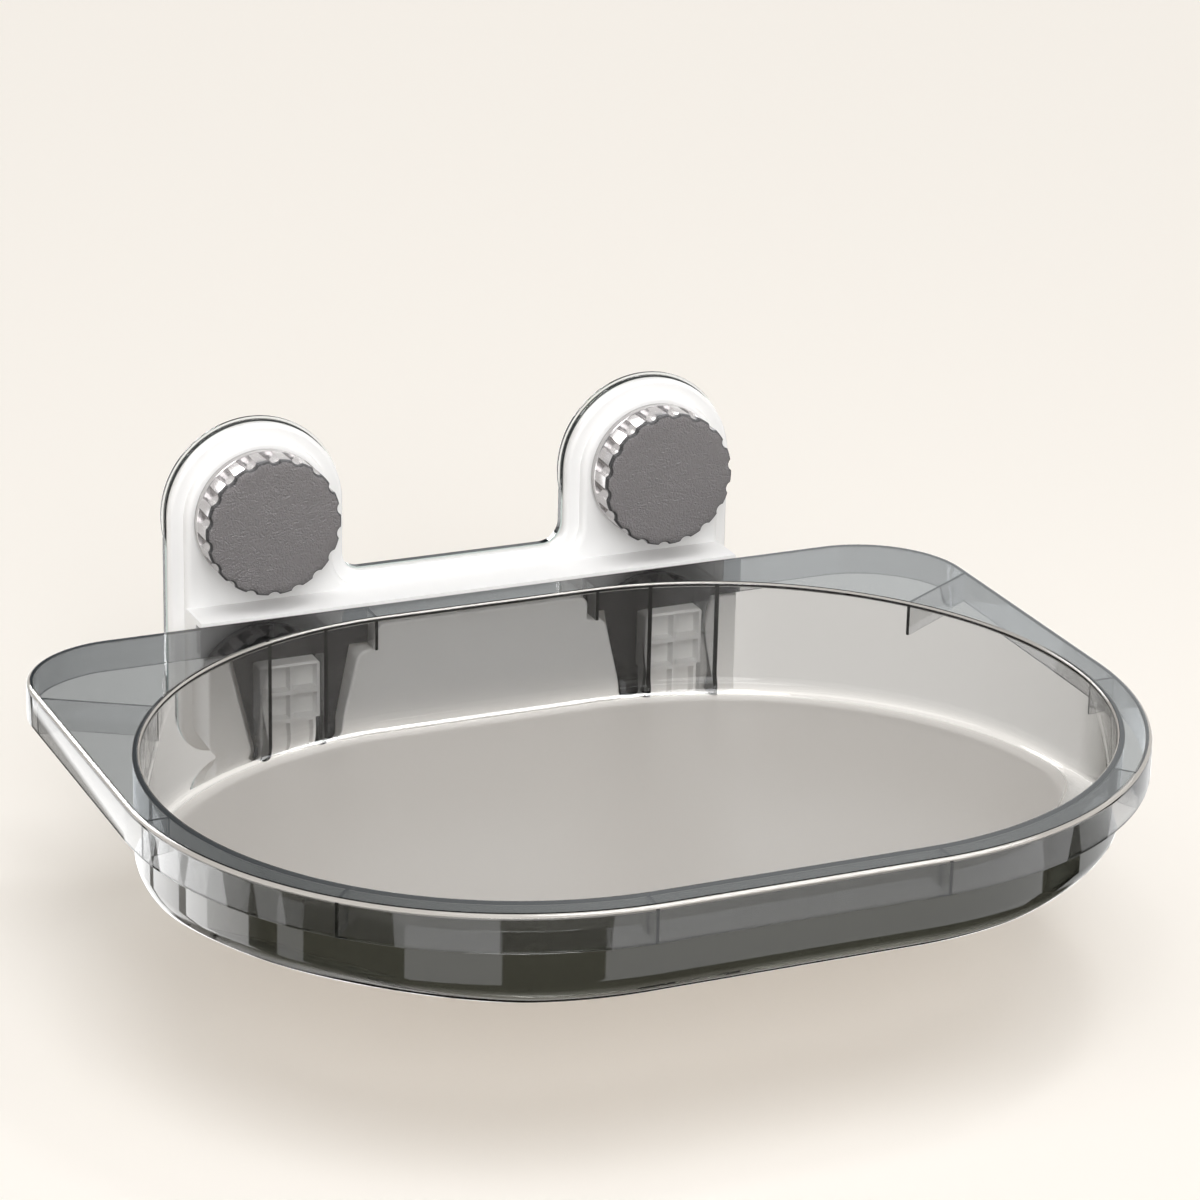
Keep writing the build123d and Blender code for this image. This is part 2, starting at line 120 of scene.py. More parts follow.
# 1 where all of several masks are 1: their product
def allOf(tree, *masks):
    whole = masks[0]
    for mask in masks[1:]:
        whole = addNode(tree, "ShaderNodeMath", {"operation": "MULTIPLY"}, {0: whole, 1: mask}).outputs[0]
    return whole


# 1 where a value lies between two edges, and 0 from a soft width beyond them
def between(tree, source, low, high, soft=0.2 * mm):
    sides = [addNode(tree, "ShaderNodeMapRange", sockets={
        "Value": source, "From Min": outer, "From Max": inner}).outputs[0]
        for outer, inner in ((low - soft, low), (high + soft, high))]
    return allOf(tree, *sides)


# What the tray's surface has beyond plain clear plastic: a hazed floor, painted shade on the hangers and
# front wall, a cool painted shade on the deck, painted highlights along its rounds, and plates that shade
# more than walls do. Gives the surface seen.
def smokeDetail(tree, look, glass, lamp):
    where = addNode(tree, "ShaderNodeTexCoord")
    place = addNode(tree, "ShaderNodeSeparateXYZ", sockets={"Vector": where.outputs["Object"]})
    facing = addNode(tree, "ShaderNodeNewGeometry")
    upright = addNode(tree, "ShaderNodeSeparateXYZ", sockets={"Vector": facing.outputs["Normal"]})
    flat, across = (addNode(tree, "ShaderNodeMath", {"operation": "ABSOLUTE"}, {0: source}).outputs[0]
                    for source in (upright.outputs["Z"], place.outputs["X"]))
    # The bowl's floor falls to the back, so its height is read after that fall is taken off
    height = addNode(tree, "ShaderNodeMath", {"operation": "MULTIPLY_ADD"},
                     {0: place.outputs["Y"], 1: look["fall"], 2: place.outputs["Z"]}).outputs[0]
    # The bowl's front wall is found by its distance from the middle of its corner arcs: how far a point
    # lies beside and ahead of that middle, neither less than nothing, and the length of the two together
    offsets = []
    for far, near in ((across, look["frontMiddleX"]), (look["frontMiddleY"], place.outputs["Y"])):
        offset = addNode(tree, "ShaderNodeMath", {"operation": "SUBTRACT"}, {0: far, 1: near})
        offset = addNode(tree, "ShaderNodeMath", {"operation": "MAXIMUM"}, {0: offset.outputs[0], 1: 0.0})
        offsets.append(offset.outputs[0])
    aside, ahead = offsets
    reach = addNode(tree, "ShaderNodeCombineXYZ", sockets={"X": aside, "Y": ahead})
    reach = addNode(tree, "ShaderNodeVectorMath", {"operation": "LENGTH"}, {0: reach.outputs[0]})
    # Masks that rise from 0 to 1 between two values of a measure
    rises = {
        "floor": (height, look["floorHeight"] + look["hazeReach"],
                  look["floorHeight"] + look["hazeReach"] / 4),
        "deck": (place.outputs["Z"], look["deckUnder"] - look["deckSoft"], look["deckUnder"]),
        "level": (flat, *look["levelTurn"]), "wall": (flat, *look["wallTurn"]),
        "ahead": (ahead, *look["frontFade"]),
    }
    mask = {name: addNode(tree, "ShaderNodeMapRange", sockets={
        "Value": source, "From Min": start, "From Max": end}).outputs[0]
        for name, (source, start, end) in rises.items()}
    floor = allOf(tree, mask["floor"], mask["level"])
    deck = allOf(tree, mask["deck"], mask["level"])
    hanger = allOf(tree, between(tree, across, look["hangerNear"], look["hangerFar"]),
                   between(tree, place.outputs["Y"], -look["hangerDepth"], 0))
    ring = between(tree, reach.outputs["Value"], look["frontNear"], look["frontFar"])
    front = allOf(tree, ring, mask["ahead"], mask["wall"])
    rounds = between(tree, flat, look["roundNear"], look["roundFar"], look["roundSoft"])
    # Painted shade: the deck, the hangers and the bowl's front wall are each darkened by a colour of their
    # own
    paintedShadeColour = linear("#FFFFFF")
    for zone, colour in ((deck, look["deckPaintedShade"]), (hanger, look["hangerPaintedShade"]), (front, look["frontPaintedShade"])):
        paintedShadeColour = addNode(tree, "ShaderNodeMix", {"data_type": "RGBA"}, {
            "Factor": zone, "A": paintedShadeColour, "B": linear(colour)}).outputs["Result"]
    shade = addNode(tree, "ShaderNodeMix", {"data_type": "RGBA"}, {
        "Factor": flat, "A": linear(look["shadowTint"]), "B": linear(look["plateShadowTint"])})
    rough = addNode(tree, "ShaderNodeMapRange", sockets={
        "Value": floor, "To Min": look["roughness"], "To Max": look["floorRoughness"]})
    tree.links.new(paintedShadeColour, glass.inputs["Base Color"])
    tree.links.new(rough.outputs[0], glass.inputs["Roughness"])
    tree.links.new(shade.outputs["Result"], lamp.inputs["Color"])
    # The floor's haze scatters a little light, as milk in the plastic would; the pale lines on the rounds are
    # painted highlights made with the same scatter
    milk = addNode(tree, "ShaderNodeMath", {"operation": "MAXIMUM"}, {
        0: allOf(tree, floor, look["milk"]), 1: allOf(tree, rounds, mask["deck"], look["rimPaintedHighlight"])})
    hazeAndHighlightDiffuse = addNode(tree, "ShaderNodeBsdfDiffuse", sockets={"Color": linear(look["milkColour"])})
    return addNode(tree, "ShaderNodeMixShader", sockets={
        0: milk.outputs[0], 1: glass.outputs[0], 2: hazeAndHighlightDiffuse.outputs[0]})


# A clear moulding that takes light off by the path inside it; lamps reach through it as a tinted shadow
def clearFinish(name, look):
    material, tree = newMaterial(name)
    glass = addNode(tree, "ShaderNodeBsdfPrincipled", sockets={
        "Base Color": linear("#FFFFFF"), "Transmission Weight": 1.0, "IOR": look["ior"],
        "Roughness": look["roughness"]})
    lamp = addNode(tree, "ShaderNodeBsdfTransparent", sockets={"Color": linear(look["shadowTint"])})
    seen = smokeDetail(tree, look, glass, lamp) if "milk" in look else glass
    path = addNode(tree, "ShaderNodeLightPath")
    surface = addNode(tree, "ShaderNodeMixShader", sockets={
        0: path.outputs["Is Shadow Ray"], 1: seen.outputs[0], 2: lamp.outputs[0]})
    inside = addNode(tree, "ShaderNodeVolumeAbsorption", sockets={
        "Color": linear(look["inside"]), "Density": look["depth"]})
    addNode(tree, "ShaderNodeOutputMaterial", sockets={
        "Surface": surface.outputs[0], "Volume": inside.outputs[0]})
    return material


# Grain is the size of the surface's marks in mm, and bump their depth in mm
plainLooks = {
    # ABS moulded against a polished tool: a soft sheen with a very faint orange peel
    "whiteAbsMoulded": {"colour": "#F6F6F6", "roughness": 0.42, "grain": 0.7, "bump": 0.02},
    # The same plastic as a plain plate, a little duller in colour and smoother
    "whiteAbsPlate": {"colour": "#F1F0EE", "roughness": 0.38, "grain": 0.7, "bump": 0.02},
    # ABS moulded against a spark-eroded tool: an even fine grain, drawn 0.75 mm coarse so that it shows.
    # The upstand round it is painted dark as a ring of painted shade, by how far it turns away from the
    # front.
    "greyAbsTextured": {
        "colour": "#777475", "roughness": 0.5, "grain": 0.75, "bump": 0.42, "edge": "#1E1D1E",
        "edgeTurn": (0.8, 0.96)},
    # The same grey with metal flake, polished so that it shines like paint. The end of the wheel's rim
    # under the knob's face is painted dark, a band of painted shade between two places along the knob's axis.
    "greyAbsFlake": {
        "colour": "#BEBBBB", "roughness": 0.16, "grain": 1.5, "bump": 0.015, "metallic": 0.75,
        "edge": "#2A292A", "edgeDepth": (-29.0 * mm, -28.9 * mm)},
    # Acetal moulded with no pigment: milky, with a waxy sheen
    "acetalNatural": {"colour": "#E9E7DC", "roughness": 0.4, "grain": 0.8, "bump": 0.02},
    # Steel with a bright zinc coat: a cool grey metal with the faint grain of the bath
    "steelZincPlated": {"colour": "#B4B7BA", "roughness": 0.32, "grain": 0.4, "bump": 0.04, "metallic": 1.0},
    # Brass turned from bar: warm and bright, with fine marks left by the tool
    "brassTurned": {"colour": "#C9A25A", "roughness": 0.28, "grain": 0.3, "bump": 0.04, "metallic": 1.0},
}
plainDrift = {"size": 30 * mm, "detail": 2.0, "shade": 0.94, "grainDetail": 3.0, "bumpStrength": 5}


# An opaque moulded or turned finish: one colour with a slight drift, and a grain of a real size in the bump
def plainFinish(name, look):
    material, tree = newMaterial(name)
    where = addNode(tree, "ShaderNodeTexCoord").outputs["Object"]
    drift = addNode(tree, "ShaderNodeTexNoise", sockets={
        "Vector": where, "Scale": 1 / plainDrift["size"], "Detail": plainDrift["detail"]})
    deep = [v * plainDrift["shade"] for v in linear(look["colour"])[:3]] + [1.0]
    tone = addNode(tree, "ShaderNodeMix", {"data_type": "RGBA"}, {
        "Factor": drift.outputs["Fac"], "A": linear(look["colour"]), "B": deep})
    # A look with an edge colour gets a ring of painted shade: by how far the face turns from the front, or
    # between two depths along the knob's axis
    if "edge" in look:
        if "edgeDepth" in look:
            measure = addNode(tree, "ShaderNodeSeparateXYZ", sockets={"Vector": where}).outputs["Y"]
            start, end = look["edgeDepth"]
        else:
            facing = addNode(tree, "ShaderNodeNewGeometry")
            upright = addNode(tree, "ShaderNodeSeparateXYZ", sockets={"Vector": facing.outputs["Normal"]})
            turned = addNode(tree, "ShaderNodeMath", {"operation": "ABSOLUTE"}, {0: upright.outputs["Y"]})
            measure = turned.outputs[0]
            start, end = look["edgeTurn"]
        face = addNode(tree, "ShaderNodeMapRange", sockets={
            "Value": measure, "From Min": start, "From Max": end})
        tone = addNode(tree, "ShaderNodeMix", {"data_type": "RGBA"}, {
            "Factor": face.outputs[0], "A": linear(look["edge"]), "B": tone.outputs["Result"]})
    grain = addNode(tree, "ShaderNodeTexNoise", sockets={
        "Vector": where, "Scale": 1 / (look["grain"] * mm), "Detail": plainDrift["grainDetail"]})
    bump = addNode(tree, "ShaderNodeBump", sockets={
        "Height": grain.outputs["Fac"], "Strength": look["bump"] * plainDrift["bumpStrength"],
        "Distance": look["bump"] * mm})
    surface = addNode(tree, "ShaderNodeBsdfPrincipled", sockets={
        "Base Color": tone.outputs["Result"], "Roughness": look["roughness"],
        "Metallic": look.get("metallic", 0.0), "Normal": bump.outputs[0]})
    addNode(tree, "ShaderNodeOutputMaterial", sockets={"Surface": surface.outputs[0]})
    return material


softLooks = {
    # Polyurethane cast clear: bright at its rim, a little cloudy
    "polyurethaneClear": {
        "ior": 1.5, "roughness": 0.08, "inside": "#C9DCDC", "depth": 120.0, "shadowTint": "#E9F0EF"},
    # The same with a blue-green cast that gathers where it is seen edge on
    "polyurethaneTeal": {
        "ior": 1.5, "roughness": 0.12, "inside": "#3E9A9E", "depth": 150.0, "shadowTint": "#C4D8D8"},
}

finishes = {name: plainFinish(name, look) for name, look in plainLooks.items()}
finishes |= {name: clearFinish(name, look) for name, look in softLooks.items()}
print("materials made:", len(finishes))

carried = {
    "bracket_shell": "whiteAbsMoulded", "back_plate": "whiteAbsPlate", "glass_gasket": "polyurethaneTeal",
    "shell_screws": "steelZincPlated",
}
carriedPairs = {
    "cup_plate_": "steelZincPlated", "stud_": "steelZincPlated", "stop_screw_": "steelZincPlated",
    "thrust_washer_": "acetalNatural", "knob_nut_": "brassTurned",
}
for start, finish in carriedPairs.items():
    carried |= {start + sideName: finish for sideName in ("left", "right")}
for nodeName, finish in carried.items():
    nodes[nodeName].data.materials.clear()
    nodes[nodeName].data.materials.append(finishes[finish])
print("carried nodes dressed:", len(carried))


# The tray

trayLow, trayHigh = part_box("tray")
trayShape = {
    "halfWidth": trayHigh.x, "back": trayHigh.y, "front": trayLow.y, "top": trayHigh.z,
    "backCorner": 46 * mm, "frontCorner": 156.5 * mm, "wall": 2.6 * mm, "skirt": 15.6 * mm,
    "rimRound": 2.2 * mm, "bowlHalf": 198 * mm, "bowlBack": -47.8 * mm, "bowlBackRadius": 152.5 * mm,
    "bowlFrontRadius": 143.5 * mm, "bowlWall": 2.8 * mm, "bowlFrontBottom": -83 * mm, "bowlFall": 11 * mm,
    "bowlFillet": 12 * mm,
    "bowlInnerFillet": 2.7 * mm, "mouthRound": 1.25 * mm, "edgeBreak": 0.25 * mm, "skirtGap": 50 * mm,
    # How far the dish reaches in, and the wall's turns in degrees between which it rises, stays and falls
    "dishReach": 17 * mm, "dishTurns": [16, 52, 64, 92],
    # How many points each ring has, and where the rings lie: over the floor, close beside each round, and
    # how many make up a round
    "stations": 720, "floorShares": [0.02, 0.25, 0.5, 0.75, 0.9, 0.985], "gapTurn": 0.0002,
    "besideFillet": 0.4 * mm, "besideMouth": 0.3 * mm, "besideTop": 0.2 * mm, "besideSkirt": 0.15 * mm,
    "filletRings": 9, "mouthRings": 5, "rimRings": 8, "underRings": 10,
}
bowlMiddle = trayShape["bowlBack"] - trayShape["bowlBackRadius"]
bowlLength = trayShape["bowlBackRadius"] + trayShape["bowlFrontRadius"]
bowlFrontWall = trayShape["bowlBack"] - bowlLength - trayShape["bowlWall"]
floorFall = trayShape["bowlFall"] / bowlLength

# Polycarbonate tinted smoke grey, moulded against a mirror-polished tool: glassy, and darker the longer the
# light's path inside it, with a hazed floor
smokeLook = {
    "ior": 1.58, "roughness": 0.012, "floorRoughness": 0.3, "inside": "#C5C6C7", "depth": 370.0,
    "shadowTint": "#F7F4EF", "plateShadowTint": "#A0978B", "milk": 0.42, "milkColour": "#EDE8E2",
    "fall": floorFall, "hazeReach": 0.4 * mm,
    "floorHeight": trayShape["bowlFrontBottom"] + trayShape["bowlWall"] + floorFall * bowlFrontWall,
    # How level a face lies, from 0 to 1, where floor and deck begin, where a wall ends, and on the rounds,
    # which get painted highlights
    "levelTurn": (0.985, 0.998), "wallTurn": (0.7, 0.3),
    "rimPaintedHighlight": 0.5, "roundNear": 0.4, "roundFar": 0.9, "roundSoft": 0.06,
    # Painted shade: a cool darker deck for the reflection it shows, dark hangers for the shaded recess behind
    # them, and a dark front wall for the dark reflections in it
    "deckPaintedShade": "#D6DADC", "deckUnder": trayShape["top"] - trayShape["wall"] - 0.1 * mm, "deckSoft": 1 * mm,
    "hangerPaintedShade": "#505153", "hangerDepth": 35 * mm, "hangerNear": 50 * mm, "hangerFar": 125 * mm,
    "frontPaintedShade": "#6C6D62", "frontMiddleX": 54.5 * mm, "frontMiddleY": -200.3 * mm,
    "frontNear": 142.0 * mm, "frontFar": 148.0 * mm, "frontFade": (10 * mm, 70 * mm),
}
finishes["smoke"] = clearFinish("smokePolycarbonateMoulded", smokeLook)


# Right half of an outline, back middle to front middle: straight runs and quarter arcs walked in small steps
def halfOutline(pieces, step=0.4 * mm):
    walked = []
    for kind, *data in pieces:
        if kind == "line":
            start, end = np.array(data[0]), np.array(data[1])
            count = max(2, int(np.hypot(*(end - start)) / step))
            t = np.linspace(0, 1, count, endpoint=False)[:, None]
            walked.append(start + (end - start) * t)
        else:
            centre, radius, first, last = data
            count = int(abs(last - first) * radius / step)
            angle = np.linspace(first, last, count, endpoint=False)
            walked.append(np.array(centre) + radius * np.stack([np.cos(angle), np.sin(angle)], -1))
    return np.concatenate(walked + [np.array([pieces[-1][2]])])


# The deck: straight at its back, sides and front, with small arcs at the back corners and large ones in front
def deckOutline():
    s = trayShape
    w, back, front, rb, rf = s["halfWidth"], s["back"], s["front"], s["backCorner"], s["frontCorner"]
    return halfOutline([
        ("line", (0, back), (w - rb, back)), ("arc", (w - rb, back - rb), rb, math.pi / 2, 0),
        ("line", (w, back - rb), (w, front + rf)), ("arc", (w - rf, front + rf), rf, 0, -math.pi / 2),
        ("line", (w - rf, front), (0, front))])


# The bowl's mouth: back and front arcs of two radii that meet at its widest, with short straight runs between
def mouthOutline():
    s = trayShape
    w, back, rb, rf = s["bowlHalf"], s["bowlBack"], s["bowlBackRadius"], s["bowlFrontRadius"]
    front = bowlMiddle - rf
    return halfOutline([
        ("line", (0, back), (w - rb, back)), ("arc", (w - rb, bowlMiddle), rb, math.pi / 2, 0),
        ("arc", (w - rf, bowlMiddle), rf, 0, -math.pi / 2), ("line", (w - rf, front), (0, front))])


# Points and inward normals of an outline where rays from the bowl's middle at the given angles cross it
def atStations(half, angles):
    whole = np.concatenate([half, (half * [-1, 1])[::-1][1:-1]])
    ahead = np.roll(whole, -1, 0) - np.roll(whole, 1, 0)
    ahead /= np.linalg.norm(ahead, axis=1)[:, None]
    inward = np.stack([ahead[:, 1], -ahead[:, 0]], -1)
    turn = np.mod(np.arctan2(whole[:, 0], whole[:, 1] - bowlMiddle), 2 * math.pi)
    order = np.argsort(turn)
    turn, whole, inward = turn[order], whole[order], inward[order]
    columns = [np.interp(angles, turn, data[:, k], period=2 * math.pi)
               for data in (whole, inward) for k in (0, 1)]
    points, normals = np.stack(columns[:2], -1), np.stack(columns[2:], -1)
    return points, normals / np.linalg.norm(normals, axis=1)[:, None]


# The tray's surface as closed rings, from the floor's top over the rim and back to the floor's underside.
# Each ring is the bowl's or the deck's outline, moved in or out along its normals, at a height. A round is a
# quarter circle: its radius times one less the sine moves the ring, or times one less the cosine, and the
# other of the two lifts it.
def trayPoints():
    s = trayShape
    gapAngle = math.atan2(s["skirtGap"], s["back"] - bowlMiddle)
    gapEnds = [gapAngle, 2 * math.pi - gapAngle]
    extra = [end + turn for end in gapEnds for turn in (-s["gapTurn"], s["gapTurn"])]
    angles = np.linspace(0, 2 * math.pi, s["stations"], endpoint=False)
    angles = np.sort(np.concatenate([angles, extra]))
    deck, deckIn = atStations(deckOutline(), angles)
    mouth, mouthIn = atStations(mouthOutline(), angles)
    # The skirt has a gap behind the bowl, where it is only as deep as the deck is thick
    hair = 0.001 * mm
    inGap = (np.abs(deck[:, 0]) < s["skirtGap"]) & (deck[:, 1] > s["back"] - hair)
    under = s["top"] - s["wall"]
    skirtFoot = np.where(inGap, under, s["top"] - s["skirt"])

    # Height of the tilted floor's underside over a place in plan
    def floorUnder(y):
        return s["bowlFrontBottom"] - (y - bowlFrontWall) * s["bowlFall"] / bowlLength

    rows = []

    def row(plan, z):
        rows.append(np.column_stack([plan, np.broadcast_to(z, len(plan))]))

    centre = np.array([[0.0, bowlMiddle]])
    # The front corners of the bowl are dished: there the fillets reach further in, by the wall's turn
    turn = np.degrees(np.arctan2(np.abs(mouthIn[:, 0]), mouthIn[:, 1]))
    dish = np.interp(turn, s["dishTurns"], [0, 1, 1, 0])
    dish = dish * dish * (3 - 2 * dish)
    inner = s["bowlInnerFillet"]
    innerReach = (inner + (s["dishReach"] - inner + s["bowlFillet"] - s["bowlWall"]) * dish)[:, None]
    innerRise = inner + (s["bowlFillet"] - s["bowlWall"] - inner) * dish
    outerReach = (s["bowlFillet"] + s["dishReach"] * dish)[:, None]
    # Floor top, from the middle out to the fillet, then the fillet
    edge = mouth + mouthIn * innerReach
    for share in s["floorShares"]:
        plan = centre + (edge - centre) * share
        row(plan, floorUnder(plan[:, 1]) + s["bowlWall"])
    for angle in np.linspace(0, math.pi / 2, s["filletRings"]):
        plan = mouth + mouthIn * innerReach * (1 - math.sin(angle))
        row(plan, floorUnder(plan[:, 1]) + s["bowlWall"] + innerRise * (1 - math.cos(angle)))
    # Inner wall, mouth edge, deck, outer rim round and skirt
    row(mouth, floorUnder(mouth[:, 1]) + s["bowlWall"] + innerRise + s["besideFillet"])
    row(mouth, s["top"] - s["mouthRound"] - s["besideMouth"])
    for angle in np.linspace(0, math.pi / 2, s["mouthRings"]):
        row(mouth - mouthIn * s["mouthRound"] * (1 - math.cos(angle)),
            s["top"] - s["mouthRound"] * (1 - math.sin(angle)))
    row(mouth - mouthIn * (s["mouthRound"] + s["besideTop"]), s["top"])
    row(deck + deckIn * (s["rimRound"] + s["besideTop"]), s["top"])
    for angle in np.linspace(0, math.pi / 2, s["rimRings"]):
        row(deck + deckIn * s["rimRound"] * (1 - math.sin(angle)),
            s["top"] - s["rimRound"] * (1 - math.cos(angle)))
    row(deck, np.minimum(s["top"] - s["rimRound"] - s["besideSkirt"], skirtFoot + 2 * s["edgeBreak"]))
    row(deck, skirtFoot + s["edgeBreak"])
    row(deck + deckIn * s["edgeBreak"], skirtFoot)
    row(deck + deckIn * (s["wall"] - s["edgeBreak"]), skirtFoot)
    row(deck + deckIn * s["wall"], skirtFoot + np.where(inGap, 0, s["edgeBreak"]))
    row(deck + deckIn * s["wall"], np.where(inGap, under, under - s["edgeBreak"]))
    row(deck + deckIn * (s["wall"] + s["edgeBreak"]), under)
    # Deck underside, outer bowl wall, outer fillet and floor underside
    row(mouth - mouthIn * (s["bowlWall"] + s["edgeBreak"]), under)
    row(mouth - mouthIn * s["bowlWall"], under - s["edgeBreak"])
    row(mouth - mouthIn * s["bowlWall"], floorUnder(mouth[:, 1]) + s["bowlFillet"] + s["besideFillet"])
    for angle in np.linspace(0, math.pi / 2, s["underRings"]):
        plan = mouth - mouthIn * (s["bowlWall"] - outerReach * (1 - math.cos(angle)))
        row(plan, floorUnder(plan[:, 1]) + s["bowlFillet"] * (1 - math.sin(angle)))
    edge = mouth + mouthIn * (outerReach - s["bowlWall"])
    for share in s["floorShares"][::-1]:
        plan = centre + (edge - centre) * share
        row(plan, floorUnder(plan[:, 1]))
    return np.stack(rows)


def makeTray():
    grid = trayPoints()
    rows, columns = grid.shape[:2]
    faces = gridFaces(rows, columns)
    faces.append(list(range(columns))[::-1])
    faces.append([(rows - 1) * columns + i for i in range(columns)])
    tray = newPiece("smoke_tray", grid.reshape(-1, 3), faces, finishes["smoke"])
    faceOutwards(tray.data)
    return tray


tray = makeTray()
print("tray body made:", len(tray.data.polygons), "faces")


# A prism: one outline at two levels along an axis, a quad between each two neighbours, and broken edges
def prism(name, outline, low, high, axis, material, edge=0.35 * mm):
    outline = np.array(outline)
    count = len(outline)
    points = np.concatenate([np.insert(outline, axis, level, axis=1) for level in (low, high)])
    faces = [[i, (i + 1) % count, count + (i + 1) % count, count + i] for i in range(count)]
    faces += [list(range(count))[::-1], [count + i for i in range(count)]]
    mesh = bpy.data.meshes.new(name)
    mesh.from_pydata(points.tolist(), [], faces)
    mesh.materials.append(material)
    work = bmesh.new()
    work.from_mesh(mesh)
    bmesh.ops.bevel(work, geom=work.edges[:], offset=edge, segments=2, profile=0.5, affect="EDGES")
    bmesh.ops.recalc_face_normals(work, faces=work.faces)
    work.to_mesh(mesh)
    work.free()
    piece = bpy.data.objects.new(name, mesh)
    bpy.context.scene.collection.objects.link(piece)
    return piece


# Webs between bowl and skirt, each by its two ends in plan: mm to the side and mm in front of the glass
webShape = {
    "thick": 1.4 * mm,
    "places": [((169.4, 109.2), (210.8, 84.2)), ((198.4, 217), (210.4, 217)),
               ((159.2, 301.2), (166.6, 308.8)), ((60, 345.3), (60, 355.8)), ((51.1, 46.5), (51.1, 33.2))],
}


# Corners in plan of a bar: each end moved half the thickness to either side of the line between them
def planBar(start, end, thick):
    start, end = np.array(start) * [1, -1] * mm, np.array(end) * [1, -1] * mm
    along = (end - start) / np.linalg.norm(end - start)
    across = np.array([-along[1], along[0]]) * thick / 2
    return [start - across, end - across, end + across, start + across]


# Each web is an upright bar from the skirt's foot to the middle of the deck's thickness, on both sides
def makeWebs():
    low, high = trayShape["top"] - trayShape["skirt"], trayShape["top"] - trayShape["wall"] / 2
    return [prism("web", np.array(planBar(start, end, webShape["thick"])) * [side, 1], low, high, 2,
                  finishes["smoke"]) for start, end in webShape["places"] for side in (1, -1)]


# All in mm. Plate gives a hanger's corners to the side and down, and front the places to the side and
# forward between which the side walls meet the bowl.
socketShape = {
    "inside": 13.2, "wall": 1.8, "centre": 89.35, "back": 34.3, "plateBack": 32.0, "plateFront": 34.6,
    "foot": 97.5,
    "plate": [(59.7, 52.0), (113.0, 52.0), (113.0, 54.6), (102.8, 97.5), (68.1, 97.5), (59.7, 54.6)],
    "front": [(73.0, 49.0), (105.6, 58.6)],
}


# Hanger plates are flat funnels in X and Z, and beside each hook two walls run from them to the bowl
def makeSockets():
    s = socketShape
    top = trayShape["top"] - trayShape["wall"] / 2
    parts = []
    for side in (1, -1):
        plate = np.array(s["plate"]) * [side, -1] * mm
        parts.append(prism("plate", plate, -s["plateFront"] * mm, -s["plateBack"] * mm, 1,
                           finishes["smoke"]))
        for near in (s["centre"] - s["inside"] - s["wall"], s["centre"] + s["inside"]):
            far = near + s["wall"]
            reach = np.interp([near, far], *zip(*s["front"]))
            corners = [(side * x * mm, -y * mm) for x, y in
                       ((near, s["back"]), (far, s["back"]), (far, reach[1]), (near, reach[0]))]
            parts.append(prism("wall", corners, -s["foot"] * mm, top, 2, finishes["smoke"]))
    return parts


# Joins parts to a piece as one closed solid
def joinSolid(main, parts):
    for part in parts:
        join = main.modifiers.new("union", "BOOLEAN")
        join.operation = "UNION"
        join.solver = "EXACT"
        join.object = part
    bpy.context.view_layer.update()
    ready = main.evaluated_get(bpy.context.evaluated_depsgraph_get())
    mesh = bpy.data.meshes.new_from_object(ready)
    main.modifiers.clear()
    main.data = mesh
    for part in parts:
        bpy.data.objects.remove(part)
    smoothFaces(mesh)


joinSolid(tray, makeWebs() + makeSockets())
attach(tray, "tray")
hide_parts("tray")
print("tray joined:", len(tray.data.polygons), "faces")


# Knobs

knobLook = {
    "centre": 91 * mm, "back": 12.9 * mm, "front": 31.3 * mm, "radius": 30 * mm,
    "turns": {"left": -0.4, "right": -3.1},
    # Scoops: how many, the radius of each, and how deep they cut into the rim at its front and back
    "count": 18, "scoop": 3.5 * mm, "frontCut": 1.3 * mm, "backCut": 2.0 * mm, "pocketEnd": 18.05 * mm,
    "scoopPoints": 11, "landPoints": 5, "rimDepths": [20 * mm, 24 * mm, 28 * mm], "sharpAngle": 32.0,
    "flange": 29.6 * mm, "flangeFront": 15.1 * mm, "bore": 6.1 * mm, "washer": 12.1 * mm,
    "washerFront": 13.7 * mm,
    # The broken edges at the back: their width, and how far their middle lies from the corner
    "soft": 0.12 * mm, "edge": 0.4 * mm, "edgeMiddle": 0.1 * mm, "step": 0.25 * mm, "stepMiddle": 0.05 * mm,
    "pocketLip": 0.04 * mm,
    # The wheel is hollow, with a hub round the nut in which the stud's end travels
    "nutBack": 15.3 * mm, "nut": 6.55 * mm, "nutFront": 22.1 * mm, "hub": 10 * mm, "inside": 26.4 * mm,
    "floorFront": 15.3 * mm,
    # The knob's face: its back, the rings of its rounded edge, each by how far below the front and how far
    # in from the rim it lies, and the shares of the radius at which the rest lie
    "capBack": 29.9 * mm, "capInset": 0.12 * mm, "capUnder": 12 * mm, "capShares": [0.94, 0.7, 0.4, 0.05],
    "capEdge": [(0.9 * mm, 0.16 * mm), (0.5 * mm, 0.38 * mm), (0.18 * mm, 0.8 * mm), (0, 1.25 * mm)],
}


